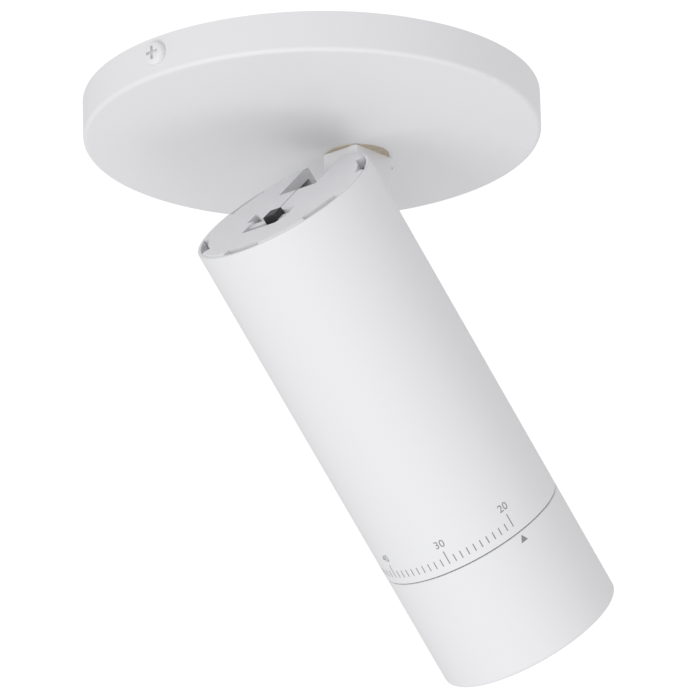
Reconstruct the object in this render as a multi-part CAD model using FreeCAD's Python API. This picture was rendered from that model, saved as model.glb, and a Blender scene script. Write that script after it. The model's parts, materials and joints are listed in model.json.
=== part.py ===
import FreeCAD, Part
import math
import os

Vector = FreeCAD.Vector

# Surface mounted ceiling spotlight. Millimetres, +Z up.
# The origin is the centre of the canopy on the ceiling plane, and the lamp hangs below it.
# +X is the way the head leans, and the tilt hinge runs along Y.
# The head is drawn hanging straight down and is turned to its resting tilt when it is written.
# "depth" is a distance along the head's axis, from its rear rim towards its front.

# ---- ceiling canopy
canopy_diameter = 127.0
canopy_depth = 11.4
canopy_sheet = 1.0
canopy_edge_radius = 1.2

# ---- crossbar behind the canopy
bar_width = 22.0
bar_sheet = 1.6
bar_bend_radius = 2.6
bar_ear_width = 14.0
bar_ear_depth = 9.4
bar_ear_clearance = 0.4
bar_slot_spacing = 88.9
bar_slot_length = 10.0
bar_slot_width = 4.4
bar_window_width = 13.0
bar_window_margin = 5.0
bar_window_reach = 9.0

# ---- screws through the canopy wall
side_screw_drop = 5.0
side_screw_diameter = 4.1
side_screw_length = 7.0
side_screw_head_diameter = 6.6
side_screw_head_height = 1.9
cross_width = 0.9

# ---- earth screw on the crossbar
ground_screw_place = -24.0
ground_screw_diameter = 3.8
ground_head_diameter = 7.6
ground_head_height = 1.8

# ---- swivel between the canopy and the arm
arm_offset = 19.0
stem_diameter = 10.0
stem_bore = 7.0
stem_grip_in_arm = 8.0
stem_spare = 0.8
washer_diameter = 17.8
washer_thickness = 0.4
stop_washer_diameter = 18.0
stop_washer_thickness = 0.8
stop_reach = 14.6
stop_tongue_width = 2.2
stop_pin_diameter = 2.2
stop_pin_height = 2.0
stop_pin_head_diameter = 3.2
stop_pin_head_height = 0.4
wave_washer_diameter = 15.0
wave_washer_thickness = 0.9
stem_nut_flats = 14.0
stem_nut_thickness = 3.6

# ---- arm
arm_width = 12.4
arm_breadth = 15.4
arm_edge_radius = 0.7
lead_bore = 6.0
lead_slot_width = 5.0
lead_slot_depth = 2.4
lead_slot_wall = 1.4

# ---- tilt hinge
hinge_drop = 41.4
hinge_depth = 27.0
hinge_setover = 18.0              # from the head's axis
rest_tilt = 45.0
hinge_bolt_diameter = 4.0
friction_washer_diameter = 12.0
friction_washer_thickness = 0.5
friction_washer_clearance = 0.05
yoke_sheet = 2.0
yoke_cheek_radius = 5.2
yoke_base_gap = 1.5
yoke_base_reach = 16.0
yoke_base_bottom = 8.9
yoke_base_top = 21.5
yoke_screw_y = 12.5
yoke_screw_x = 15.0
bolt_head_diameter = 7.0
bolt_head_height = 2.4
spring_washer_thickness = 0.8
spring_washer_diameter = 7.4
hinge_nut_flats = 7.0
hinge_nut_thickness = 2.4
bolt_spare = 0.8

# ---- head
head_diameter = 54.0
head_length = 142.8
ring_length = 35.0
ring_gap = 0.3
rear_wall = 1.0
body_wall = 2.0
front_wall = 1.4
rim_rounding = 0.3
slot_clearance = 0.6
slot_end_clearance = 0.8
slot_corner_radius = 1.2

# ---- rear cap
cap_rise = 0.3
cap_thickness = 2.9
cap_edge_radius = 0.4
cap_clearance = 0.1
vent_width = 2.6
vent_angle = 28.0
vent_spacing = 60.0
channel_half_width = 6.9
channel_floor = 8.8
slit_width = 0.6

# ---- colour temperature switch
window_half_length = 7.3
window_front = -12.8
window_back = -4.4
window_notch_length = 9.6
window_notch_back = -0.6
rail_middle = -7.2
rail_width = 2.9
rail_drop = 0.8
knob_length = 4.0
knob_place = -1.2
knob_rise = 1.2
knob_leg = 0.5
knob_clearance = 0.2
switch_body_height = 5.8
switch_body_margin = 1.2
switch_board_thickness = 1.2
switch_board_length = 30.0
switch_board_width = 12.6
switch_post_diameter = 4.6
switch_post_reach = 12.3

# ---- small screws
small_screw_diameter = 2.0
small_screw_head_diameter = 3.8
small_screw_head_height = 1.3
small_screw_grip = 5.0
medium_screw_diameter = 3.0
medium_screw_head_diameter = 5.4
medium_screw_head_height = 1.7
medium_screw_grip = 6.0
screw_clearance = 0.1

# ---- driver
tray_sheet = 1.2
tray_floor = 7.0
tray_side_gap = 3.0               # between the tray and the housing's bore
tray_start = 12.0
tray_side_bottom = 0.5
tray_flange_bottom = -13.0
tray_flange_half_width = 14.0
tray_screw_x = -8.0
tray_screw_y = 10.0
board_thickness = 1.6
board_side_gap = 0.4
board_length = 22.5
board_standoff = 1.4
board_standoff_diameter = 4.0
transformer_place = 2.0
capacitor_place = 6.0
capacitor_inset = 7.6             # from the board's side edge
chip_place = 16.0
chip_side = 4.5
connector_place = 13.5
connector_inset = 6.9
transformer_size = (12.0, 13.0, 9.5)
capacitor_diameter = 7.0
capacitor_height = 10.5
chip_size = (4.6, 4.0, 1.6)
connector_size = (6.0, 8.0, 6.5)

# ---- heat sink
sink_start = 38.0
sink_pad_thickness = 4.0
sink_fin_gap = 3.6                # between the fins and the housing's bore
sink_fin_thickness = 1.7
sink_fin_pitch = 4.1
sink_fin_count = 11
sink_base_setback = 30.3          # behind the housing's front edge
sink_base_thickness = 6.0
bore_clearance = 0.2

# ---- light source
pad_thickness = 0.4
led_board_side = 20.0
led_board_thickness = 1.4
phosphor_diameter = 13.0
phosphor_thickness = 0.5
holder_diameter = 38.0
holder_thickness = 4.2
holder_wall = 1.6
holder_mouth = 18.0
holder_screw_radius = 15.0

# ---- lens barrel
barrel_setin = 3.0                # the barrel's wall inside the head's outside
barrel_wall = 1.8
barrel_front_setback = 9.0        # behind the head's front
barrel_screw_setin = 0.3
barrel_screw_count = 3
friction_ring_lead = 0.6
friction_ring_width = 1.4
friction_ring_thickness = 0.9
friction_ring_clearance = 0.1
snap_ring_setback = 12.5          # behind the head's front
snap_ring_thickness = 1.2
snap_ring_stand_out = 1.0
snap_ring_gap_angle = 24.0
snap_groove_depth = 0.8
groove_end_relief = 0.05          # the groove's ends are bored this much wider than its walls
snap_groove_clearance = 0.1

# ---- lens carriage and its travel
zoom_turn = 176.0
zoom_travel = 14.0
pin_setback = 16.0                # behind the head's front, at the lens's front stop
pin_count = 3
pin_first_angle = 30.0
pin_diameter = 2.4
pin_stand_out = 1.4
pin_slot_clearance = 0.15
pin_end_clearance = 0.3
carriage_clearance = 0.3
carriage_length = 12.0
carriage_behind_pin = 10.0
carriage_wall = 1.5
carriage_lip = 1.2
carriage_lip_width = 1.6
lens_clearance = 0.1
lens_edge = 2.4
lens_rise = 5.6
lens_retainer_thickness = 1.2
lens_retainer_width = 1.5

# ---- zoom ring and front
ring_bore_clearance = 0.3
groove_depth = 1.4
snap_pocket_clearance = 0.3
front_bore_lead = 0.6             # ahead of the barrel's end
front_skirt = 1.2                 # the ring's wall around the front glass
front_edge_radius = 1.1
front_clearance = 0.1
gasket_thickness = 0.8
gasket_width = 2.2
glass_thickness = 2.8
bezel_recess = 1.0
bezel_rear_width = 2.8
bezel_front_width = 1.2

# ---- worked out from the sizes above
canopy_radius = canopy_diameter / 2
head_radius = head_diameter / 2
arm_top = -(canopy_depth + washer_thickness)
rear_height = hinge_depth - hinge_drop
housing_length = head_length - ring_length - ring_gap
slot_half_width = arm_width / 2 + slot_clearance
slot_end = hinge_depth + arm_breadth / 2 + slot_end_clearance
rear_radius = head_radius - rear_wall
body_radius = head_radius - body_wall
front_radius = head_radius - front_wall
cap_end = cap_thickness - cap_rise
barrel_radius = head_radius - barrel_setin
barrel_front = head_length - barrel_front_setback
barrel_screw_radius = barrel_radius - barrel_screw_setin
barrel_bore = barrel_radius - barrel_wall
sink_base_start = housing_length - sink_base_setback
sink_base_end = sink_base_start + sink_base_thickness
sink_fin_radius = body_radius - sink_fin_gap
tray_half_width = body_radius - tray_side_gap
board_half_width = tray_half_width - tray_sheet - board_side_gap
cheek_inner = arm_width / 2 + friction_washer_thickness + 2 * friction_washer_clearance
cheek_outer = cheek_inner + yoke_sheet
yoke_base_start = hinge_depth + arm_breadth / 2 + yoke_base_gap
ring_start = housing_length + ring_gap
ring_inner = 2 * (barrel_radius + ring_bore_clearance)
friction_ring_start = ring_start + friction_ring_lead
snap_ring_start = head_length - snap_ring_setback
snap_ring_reach = barrel_radius + snap_ring_stand_out
snap_pocket_start = snap_ring_start - snap_pocket_clearance
snap_pocket_radius = snap_ring_reach + snap_pocket_clearance
pin_depth = head_length - pin_setback
pin_reach = barrel_radius + pin_stand_out
front_bore_start = barrel_front + front_bore_lead
front_bore_radius = head_radius - front_skirt
upright = Vector(0, 0, 1)


# ---- shapes used more than once

def box(x_range, y_range, z_range):
    """A box between two values on each axis."""
    low = Vector(min(x_range), min(y_range), min(z_range))
    size = (abs(x_range[1] - x_range[0]), abs(y_range[1] - y_range[0]), abs(z_range[1] - z_range[0]))
    return Part.makeBox(size[0], size[1], size[2], low)


def cylinder(radius, z_range, x=0.0, y=0.0):
    """A standing cylinder between two heights."""
    low = min(z_range)
    return Part.makeCylinder(radius, abs(z_range[1] - z_range[0]), Vector(x, y, low), upright)


def tube(outer, inner, z_range, x=0.0, y=0.0):
    """A standing tube between two heights."""
    return cylinder(outer, z_range, x, y).cut(cylinder(inner, z_range, x, y))


def rod_y(radius, y_range, x, z):
    """A cylinder along Y."""
    low = min(y_range)
    return Part.makeCylinder(radius, abs(y_range[1] - y_range[0]), Vector(x, low, z), Vector(0, 1, 0))


def rod_x(radius, x_range, y, z):
    """A cylinder along X."""
    low = min(x_range)
    return Part.makeCylinder(radius, abs(x_range[1] - x_range[0]), Vector(low, y, z), Vector(1, 0, 0))


def prism(points, z_range):
    """A plan outline of x, y corners drawn up between two heights."""
    low = min(z_range)
    corners = [Vector(x, y, low) for x, y in points]
    face = Part.Face(Part.makePolygon(corners + corners[:1]))
    return face.extrude(Vector(0, 0, abs(z_range[1] - z_range[0])))


def hexagon(flats, z_range, x=0.0, y=0.0):
    """A standing hexagonal nut blank."""
    radius = flats / math.sqrt(3)
    turns = [math.radians(60 * k) for k in range(6)]
    return prism([(x + radius * math.cos(t), y + radius * math.sin(t)) for t in turns], z_range)


def turned(profile):
    """A body of revolution about Z from radius, height pairs."""
    corners = [Vector(r, 0, z) for r, z in profile]
    face = Part.Face(Part.makePolygon(corners + corners[:1]))
    return face.revolve(Vector(0, 0, 0), upright, 360)


def around(shape, count, first=0.0):
    """Copies of a shape turned evenly about Z."""
    copies = []
    for k in range(count):
        copy = shape.copy()
        copy.rotate(Vector(0, 0, 0), upright, first + k * 360.0 / count)
        copies.append(copy)
    return copies


def joined(shapes):
    """One solid from touching or overlapping shapes."""
    return shapes[0].fuse(list(shapes[1:])).removeSplitter()


def without(shape, cutters):
    """A shape with other shapes taken out of it."""
    for cutter in cutters:
        shape = shape.cut(cutter)
    return shape


def depth(distance):
    """Height of a point at this depth in the hanging head."""
    return rear_height - distance


def depths(start, end):
    """The heights of two depths in the head."""
    return depth(start), depth(end)


def pan_head(diameter, height, slot):
    """A rounded screw head with a cross recess. Its seat is at z = 0 and it rises."""
    radius = diameter / 2
    base = cylinder(radius, (0, height))
    top = [edge for edge in base.Edges if abs(edge.BoundBox.ZMin - height) < 1e-6]
    base = base.makeFillet(height * 0.6, [edge for edge in top if edge.Length > diameter])
    arm = box((-diameter * 0.3, diameter * 0.3), (-slot / 2, slot / 2), (height * 0.45, height + 1))
    cross = arm.copy()
    cross.rotate(Vector(0, 0, 0), upright, 90)
    return without(base, [arm, cross])


def screw(diameter, grip, head_diameter, head_height, slot):
    """A screw with its seat at z = 0, its head above and its shank below."""
    shank = cylinder(diameter / 2, (-grip, 0.2))
    return joined([pan_head(head_diameter, head_height, slot), shank])


def placed(shape, where, direction):
    """A shape drawn along +Z, turned to a direction and moved to a place."""
    copy = shape.copy()
    turn = FreeCAD.Rotation(upright, direction)
    copy.Placement = FreeCAD.Placement(where, turn).multiply(copy.Placement)
    return copy


# ---- canopy and what is fixed with it

def make_canopy():
    """The pressed pan, with holes for the swivel stem, the stop pin and the side screws."""
    pan = cylinder(canopy_radius, (-canopy_depth, 0))
    rim = [edge for edge in pan.Edges if abs(edge.BoundBox.ZMax + canopy_depth) < 1e-6]
    pan = pan.makeFillet(canopy_edge_radius, rim)
    inside = cylinder(canopy_radius - canopy_sheet, (canopy_sheet - canopy_depth, 1))
    floor = (-canopy_depth - 1, canopy_sheet - canopy_depth + 1)
    stem_hole = cylinder(stem_diameter / 2 + screw_clearance, floor, arm_offset)
    pin_hole = cylinder(stop_pin_diameter / 2, floor, arm_offset + stop_middle())
    side_holes = rod_x(side_screw_diameter / 2 + 0.25, (-canopy_radius - 2, canopy_radius + 2), 0,
                       -side_screw_drop)
    return without(pan, [inside, stem_hole, pin_hole, side_holes])


def stop_middle():
    """Distance of the stop pin from the swivel's axis."""
    return stop_reach - stop_pin_diameter / 2


def make_pan_stop_pin():
    """A rivet through the canopy that the stop washer's tongue runs against."""
    x = arm_offset + stop_middle()
    shank = cylinder(stop_pin_diameter / 2, (-canopy_depth, canopy_sheet - canopy_depth + stop_pin_height),
                     x)
    head_top = canopy_sheet - canopy_depth + stop_pin_head_height
    return joined([shank, cylinder(stop_pin_head_diameter / 2, (canopy_sheet - canopy_depth, head_top), x)])


def make_mounting_bracket():
    """The crossbar: a strip along the ceiling with an ear bent down at each end."""
    reach = canopy_radius - canopy_sheet - bar_ear_clearance
    half_ear = bar_ear_width / 2
    face = math.sqrt(reach * reach - half_ear * half_ear)
    outer = box((-face, face), (-bar_width / 2, bar_width / 2), (-bar_ear_depth, 0))
    bends = [edge for edge in outer.Edges
             if abs(edge.BoundBox.ZMin) < 1e-6 and abs(abs(edge.CenterOfMass.x) - face) < 1e-6]
    outer = outer.makeFillet(bar_bend_radius, bends)
    hollow = box((bar_sheet - face, face - bar_sheet), (-bar_width, bar_width),
                 (-bar_ear_depth - 1, -bar_sheet))
    below = [edge for edge in hollow.Edges if abs(edge.BoundBox.ZMin + bar_sheet) < 1e-6
             and abs(abs(edge.CenterOfMass.x) - face + bar_sheet) < 1e-6]
    hollow = hollow.makeFillet(bar_bend_radius - bar_sheet, below)
    strip = outer.cut(hollow)
    neck = face - bar_bend_radius - half_ear
    cuts = []
    for side in (-1, 1):
        for end in (-1, 1):
            corner = box((end * neck, end * (face + 1)), (side * half_ear, side * bar_width),
                         (-bar_ear_depth - 1, 1))
            cuts.append(corner)
    cuts += [slot_along_x(x) for x in (-bar_slot_spacing / 2, bar_slot_spacing / 2)]
    window_end = arm_offset + bar_window_reach
    cuts.append(box((-bar_window_margin, window_end), (-bar_window_width / 2, bar_window_width / 2),
                    (-5, 1)))
    cuts.append(cylinder(ground_screw_diameter / 2 + screw_clearance, (-5, 1), ground_screw_place))
    ear_hole = side_screw_diameter / 2 + screw_clearance
    cuts.append(rod_x(ear_hole, (-face - 1, face + 1), 0, -side_screw_drop))
    return without(strip, cuts)


def slot_along_x(x):
    """A round-ended slot through the crossbar for a junction box screw."""
    radius = bar_slot_width / 2
    half = bar_slot_length / 2 - radius
    heights = (-bar_sheet - 1, 1)
    middle = box((x - half, x + half), (-radius, radius), heights)
    return joined([middle, cylinder(radius, heights, x - half), cylinder(radius, heights, x + half)])


def make_canopy_screws():
    """One pan head screw through each side of the canopy, into the crossbar's ears."""
    one = screw(side_screw_diameter, side_screw_length, side_screw_head_diameter, side_screw_head_height,
                cross_width)
    solids = []
    for side in (-1, 1):
        solids.append(placed(one, Vector(side * canopy_radius, 0, -side_screw_drop), Vector(side, 0, 0)))
    return Part.makeCompound(solids)


def make_ground_screw():
    """The earth screw, put up through the crossbar from below."""
    one = screw(ground_screw_diameter, bar_sheet, ground_head_diameter, ground_head_height, cross_width)
    return placed(one, Vector(ground_screw_place, 0, -bar_sheet), Vector(0, 0, -1))


# ---- swivel and arm

def stack_heights():
    """Heights of what the stem carries inside the canopy, from the canopy's floor up."""
    floor = canopy_sheet - canopy_depth
    stop_top = floor + stop_washer_thickness
    wave_top = stop_top + wave_washer_thickness
    return floor, stop_top, wave_top, wave_top + stem_nut_thickness


def make_swivel_washer():
    """The tan washer between the arm and the canopy."""
    return tube(washer_diameter / 2, stem_diameter / 2 + screw_clearance, (arm_top, -canopy_depth),
                arm_offset)


def make_swivel_stem():
    """The hollow threaded stem, with a flat that keys the stop washer."""
    top = stack_heights()[3] + stem_spare
    stem = tube(stem_diameter / 2, stem_bore / 2, (arm_top - stem_grip_in_arm, top), arm_offset)
    flat = stem_flat()
    return stem.cut(box((arm_offset + flat, arm_offset + stem_diameter), (-stem_diameter, stem_diameter),
                        (stack_heights()[0], top + 1)))


def stem_flat():
    """Distance of the stem's flat from its axis."""
    return stem_diameter / 2 - 0.6


def make_pan_stop_washer():
    """A washer with a flat in its hole and a tongue that meets the stop pin."""
    floor, stop_top = stack_heights()[:2]
    disc = cylinder(stop_washer_diameter / 2, (floor, stop_top), arm_offset)
    tongue = box((arm_offset - stop_reach, arm_offset), (-stop_tongue_width / 2, stop_tongue_width / 2),
                 (floor, stop_top))
    hole = cylinder(stem_diameter / 2 + screw_clearance, (floor - 1, stop_top + 1), arm_offset)
    key = box((arm_offset + stem_flat() + screw_clearance, arm_offset + stem_diameter),
              (-stem_diameter, stem_diameter), (floor - 1, stop_top + 1))
    return joined([disc, tongue]).cut(hole.cut(key))


def make_stem_wave_washer():
    """The spring washer that keeps the swivel stiff."""
    stop_top, wave_top = stack_heights()[1:3]
    return tube(wave_washer_diameter / 2, stem_diameter / 2 + screw_clearance, (stop_top, wave_top),
                arm_offset)


def make_stem_nut():
    """The nut on the stem."""
    wave_top, nut_top = stack_heights()[2:]
    blank = hexagon(stem_nut_flats, (wave_top, nut_top), arm_offset)
    return blank.cut(cylinder(stem_diameter / 2 + screw_clearance, (wave_top - 1, nut_top + 1), arm_offset))


def make_swivel_arm():
    """The square hollow block, round at its lower end where the hinge bolt goes through."""
    half_x = arm_breadth / 2
    half_y = arm_width / 2
    block = box((arm_offset - half_x, arm_offset + half_x), (-half_y, half_y), (-hinge_drop, arm_top))
    upright_edges = [edge for edge in block.Edges if edge.BoundBox.ZLength > arm_top + hinge_drop - 1e-6]
    block = block.makeFillet(arm_edge_radius, upright_edges)
    tip = rod_y(half_x, (-half_y, half_y), arm_offset, -hinge_drop)
    ends = [edge for edge in tip.Edges if edge.BoundBox.YLength < 1e-6]
    tip = tip.makeFillet(arm_edge_radius, ends)
    body = joined([block, tip])
    stem_seat = arm_top - stem_grip_in_arm
    stem_hole = cylinder(stem_diameter / 2 + screw_clearance, (stem_seat, arm_top + 1), arm_offset)
    slot_top = -hinge_drop + half_x
    leads = cylinder(lead_bore / 2, (slot_top, stem_seat + 1), arm_offset)
    slot_x = arm_offset - hinge_bolt_diameter / 2 - lead_slot_wall - lead_slot_depth
    slot = box((slot_x, slot_x + lead_slot_depth), (-lead_slot_width / 2, lead_slot_width / 2),
               (-hinge_drop - arm_breadth, slot_top + lead_bore / 2))
    bolt_hole = rod_y(hinge_bolt_diameter / 2 + screw_clearance, (-arm_width, arm_width), arm_offset,
                      -hinge_drop)
    return without(body, [stem_hole, leads, slot, bolt_hole])


def make_tilt_friction_washers():
    """A plastic washer on each side of the arm."""
    inner = arm_width / 2 + friction_washer_clearance
    solids = []
    for side in (-1, 1):
        span = (side * inner, side * (inner + friction_washer_thickness))
        disc = rod_y(friction_washer_diameter / 2, span, arm_offset, -hinge_drop)
        solids.append(disc.cut(rod_y(hinge_bolt_diameter / 2 + screw_clearance, span, arm_offset,
                                     -hinge_drop)))
    return Part.makeCompound(solids)


# ---- tilt hinge in the head

def make_tilt_yoke():
    """Two cheeks on the hinge bolt, standing on a base that is screwed to the heat sink."""
    base = box((yoke_base_bottom, yoke_base_top), (-yoke_base_reach, yoke_base_reach),
               depths(yoke_base_start, sink_start))
    base = base.common(cylinder(body_radius - bore_clearance, depths(0, head_length)))
    parts = [base]
    for side in (-1, 1):
        span = (side * cheek_inner, side * cheek_outer)
        parts.append(rod_y(yoke_cheek_radius, span, hinge_setover, -hinge_drop))
        parts.append(box((hinge_setover - yoke_cheek_radius, yoke_base_top), span,
                         depths(yoke_base_start + yoke_sheet / 2, hinge_depth)))
    body = joined(parts)
    body = body.cut(box((yoke_base_bottom - 1, hinge_setover + yoke_cheek_radius + 3),
                        (-cheek_inner, cheek_inner),
                        depths(hinge_depth - arm_breadth, yoke_base_start)))
    trim = cylinder(body_radius - bore_clearance, depths(0, head_length))
    body = body.common(trim)
    holes = [rod_y(hinge_bolt_diameter / 2 + screw_clearance, (-head_radius, head_radius), hinge_setover,
                   -hinge_drop)]
    for side in (-1, 1):
        holes.append(cylinder(medium_screw_diameter / 2 + screw_clearance,
                              depths(yoke_base_start - 1, sink_start + 1),
                              yoke_screw_x, side * yoke_screw_y))
    return without(body, holes)


def make_yoke_screws():
    """Two screws that hold the yoke to the heat sink."""
    one = screw(medium_screw_diameter, medium_screw_grip, medium_screw_head_diameter,
                medium_screw_head_height,
                cross_width)
    solids = []
    for side in (-1, 1):
        solids.append(placed(one, Vector(yoke_screw_x, side * yoke_screw_y, depth(yoke_base_start)),
                             upright))
    return Part.makeCompound(solids)


def make_hinge_bolt():
    """The bolt through the yoke and the arm."""
    end = cheek_outer + spring_washer_thickness + hinge_nut_thickness + bolt_spare
    one = screw(hinge_bolt_diameter, cheek_outer + end, bolt_head_diameter, bolt_head_height, cross_width)
    return placed(one, Vector(hinge_setover, -cheek_outer, -hinge_drop), Vector(0, -1, 0))


def make_hinge_spring_washer():
    """The spring washer under the hinge nut."""
    span = (cheek_outer, cheek_outer + spring_washer_thickness)
    disc = rod_y(spring_washer_diameter / 2, span, hinge_setover, -hinge_drop)
    return disc.cut(rod_y(hinge_bolt_diameter / 2 + screw_clearance, span, hinge_setover, -hinge_drop))


def make_hinge_nut():
    """The hinge nut, with two of its flats across the head."""
    blank = hexagon(hinge_nut_flats, (0, hinge_nut_thickness))
    blank = blank.cut(cylinder(hinge_bolt_diameter / 2 + screw_clearance, (-1, hinge_nut_thickness + 1)))
    blank.rotate(Vector(0, 0, 0), upright, 90)
    blank.rotate(Vector(0, 0, 0), Vector(1, 0, 0), -90)
    blank.translate(Vector(hinge_setover, cheek_outer + spring_washer_thickness, -hinge_drop))
    return blank


# ---- housing and rear cap

def make_head_housing():
    """The white tube: a wide bore for the cap, a step that the heat sink seats on, and the arm's slot."""
    body = cylinder(head_radius, depths(0, housing_length))
    ends = [edge for edge in body.Edges if edge.BoundBox.ZLength < 1e-6 and edge.Length > head_radius]
    body = body.makeFillet(rim_rounding, ends)
    bores = [cylinder(rear_radius, depths(-1, cap_end)),
             cylinder(body_radius, depths(cap_end - 1, sink_base_start + 1)),
             cylinder(front_radius, depths(sink_base_start, housing_length + 1))]
    slot = box((0, head_diameter), (-slot_half_width, slot_half_width), depths(-1, slot_end))
    corners = [edge for edge in slot.Edges
               if edge.BoundBox.XLength > 1 and abs(edge.BoundBox.ZMax - depth(slot_end)) < 1e-6]
    slot = slot.makeFillet(slot_corner_radius, corners)
    return without(body, bores + [slot])


def window_outline():
    """The switch window in the cap's plane, as x, y corners. The rail across it is left standing."""
    rail_front = rail_middle - rail_width / 2
    rail_back = rail_middle + rail_width / 2
    front = [(window_front, window_half_length), (window_front, -window_half_length + 2.4),
             (window_front + 2.9, -window_half_length), (rail_front, -window_half_length),
             (rail_front, window_half_length)]
    back = [(rail_back, -window_half_length), (window_back, -window_half_length),
            (window_back, window_half_length - 1.6), (window_notch_back - 1.6, window_notch_length - 2.2),
            (window_notch_back, window_notch_length), (rail_back, window_notch_length)]
    return front, back


def make_rear_cap():
    """The white plate in the rear rim: edge slots, the arm's channel, the switch window and its slit."""
    span = depths(-cap_rise, cap_end)
    plate = cylinder(rear_radius - cap_clearance, span)
    upper = [edge for edge in plate.Edges if abs(edge.BoundBox.ZMin - depth(-cap_rise)) < 1e-6]
    plate = plate.makeFillet(cap_edge_radius, upper)
    tall = depths(-cap_rise - 1, cap_end + 1)
    vent = tube(rear_radius + 1, rear_radius - vent_width, tall)
    half = math.radians(vent_angle / 2)
    far = head_diameter
    wedge = prism([(0, 0), (far * math.cos(half), -far * math.sin(half)),
                   (far * math.cos(half), far * math.sin(half))],
                  tall)
    cuts = around(vent.common(wedge), 6, vent_spacing)
    cuts.append(box((channel_floor, head_radius), (-channel_half_width, channel_half_width), tall))
    cuts += [prism(outline, tall) for outline in window_outline()]
    cuts.append(box((window_back - 0.5, channel_floor + 0.5), (-slit_width / 2, slit_width / 2), tall))
    rail_top = box((rail_middle - rail_width / 2, rail_middle + rail_width / 2),
                   (-window_half_length, window_half_length), depths(-cap_rise - 1,
                                                                     rail_drop - cap_rise))
    cuts.append(rail_top)
    plate = without(plate, cuts)
    posts = []
    for side in (-1, 1):
        post = cylinder(switch_post_diameter / 2, depths(cap_end - 0.5, switch_board_start()), rail_middle,
                        side * switch_post_reach)
        hole = cylinder(small_screw_diameter / 2 + screw_clearance,
                        depths(switch_board_start() - small_screw_grip,
                               switch_board_start() + 1), rail_middle,
                        side * switch_post_reach)
        posts.append(post.cut(hole))
    return joined([plate] + posts)


# ---- colour temperature switch

def switch_board_start():
    """Depth of the switch board's near face."""
    return knob_foot() + knob_clearance + switch_body_height


def knob_foot():
    """Depth of the ends of the knob's legs."""
    return cap_end + 0.4


def make_switch_knob():
    """A small saddle that straddles the rail across the window."""
    half_rail = rail_width / 2 + knob_clearance
    half = half_rail + knob_leg
    body = box((rail_middle - half, rail_middle + half),
               (knob_place - knob_length / 2, knob_place + knob_length / 2),
               depths(-cap_rise - knob_rise, knob_foot()))
    top = [edge for edge in body.Edges if abs(edge.BoundBox.ZMin - depth(-cap_rise - knob_rise)) < 1e-6]
    body = body.makeFillet(0.35, top)
    groove = box((rail_middle - half_rail, rail_middle + half_rail),
                 (knob_place - knob_length, knob_place + knob_length),
                 depths(rail_drop - cap_rise - knob_clearance, knob_foot() + 1))
    return body.cut(groove)


def make_switch_body():
    """The switch under the window."""
    start = knob_foot() + knob_clearance
    return box((window_front + switch_body_margin / 2, window_back - switch_body_margin / 4),
               (-window_half_length - switch_body_margin, window_half_length + switch_body_margin),
               depths(start, switch_board_start()))


def make_switch_board():
    """The small board that carries the switch, on the cap's two posts."""
    start = switch_board_start()
    span = depths(start, start + switch_board_thickness)
    board = box((rail_middle - switch_board_width / 2, rail_middle + switch_board_width / 2),
                (-switch_board_length / 2, switch_board_length / 2), span)
    holes = [cylinder(small_screw_diameter / 2 + screw_clearance, span, rail_middle,
                      side * switch_post_reach)
             for side in (-1, 1)]
    return without(board, holes)


def make_switch_board_screws():
    """Two screws up into the cap's posts."""
    one = screw(small_screw_diameter, small_screw_grip, small_screw_head_diameter, small_screw_head_height,
                0.6)
    solids = []
    for side in (-1, 1):
        where = Vector(rail_middle, side * switch_post_reach,
                       depth(switch_board_start() + switch_board_thickness))
        solids.append(placed(one, where, Vector(0, 0, -1)))
    return Part.makeCompound(solids)


# ---- driver

def make_driver_tray():
    """The plastic tray between the driver board and the arm, with a flange on the heat sink."""
    floor = box((tray_floor, tray_floor + tray_sheet), (-tray_half_width, tray_half_width),
                depths(tray_start, sink_start))
    parts = [floor]
    for side in (-1, 1):
        wall = box((tray_side_bottom, tray_floor + tray_sheet),
                   (side * (tray_half_width - tray_sheet), side * tray_half_width), depths(tray_start,
                                                                                           sink_start))
        parts.append(wall)
    parts.append(box((tray_flange_bottom, tray_floor + tray_sheet),
                     (-tray_flange_half_width, tray_flange_half_width),
                     depths(sink_start - tray_sheet, sink_start)))
    for x, y, z in standoff_places():
        peg = Part.makeCylinder(board_standoff_diameter / 2, board_standoff + 0.5, Vector(x, y, z),
                                Vector(1, 0, 0))
        parts.append(peg)
    body = joined(parts)
    holes = [cylinder(medium_screw_diameter / 2 + screw_clearance, depths(sink_start - 4, sink_start + 1),
                      tray_screw_x, side * tray_screw_y) for side in (-1, 1)]
    return without(body, holes)


def board_face():
    """Distance from the head's axis to the board's face that the tray's pegs meet."""
    return tray_floor - board_standoff


def standoff_places():
    """Where the tray's four pegs meet the driver board."""
    middle = tray_start + board_length / 2 + 0.5
    reach = board_length / 2 - 2.6
    places = []
    for side in (-1, 1):
        for end in (-1, 1):
            places.append((board_face(), side * (board_half_width - 3.2), depth(middle + end * reach)))
    return places


def make_driver_tray_screws():
    """Two screws that hold the tray to the heat sink."""
    one = screw(medium_screw_diameter, medium_screw_grip, medium_screw_head_diameter,
                medium_screw_head_height,
                cross_width)
    solids = []
    for side in (-1, 1):
        where = Vector(tray_screw_x, side * tray_screw_y, depth(sink_start - tray_sheet))
        solids.append(placed(one, where, upright))
    return Part.makeCompound(solids)


def board_span():
    """Depths of the driver board's two ends."""
    return tray_start + 0.5, tray_start + 0.5 + board_length


def make_driver_board():
    """The driver's circuit board, on the tray's pegs."""
    start, end = board_span()
    return box((board_face() - board_thickness, board_face()), (-board_half_width, board_half_width),
               depths(start, end))


def on_board(size, y, along):
    """A box on the board's component side. size is along the head, across it and out from the board."""
    top = board_face() - board_thickness
    start = board_span()[0] + along
    return box((top - size[2], top), (y - size[1] / 2, y + size[1] / 2), depths(start, start + size[0]))


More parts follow.
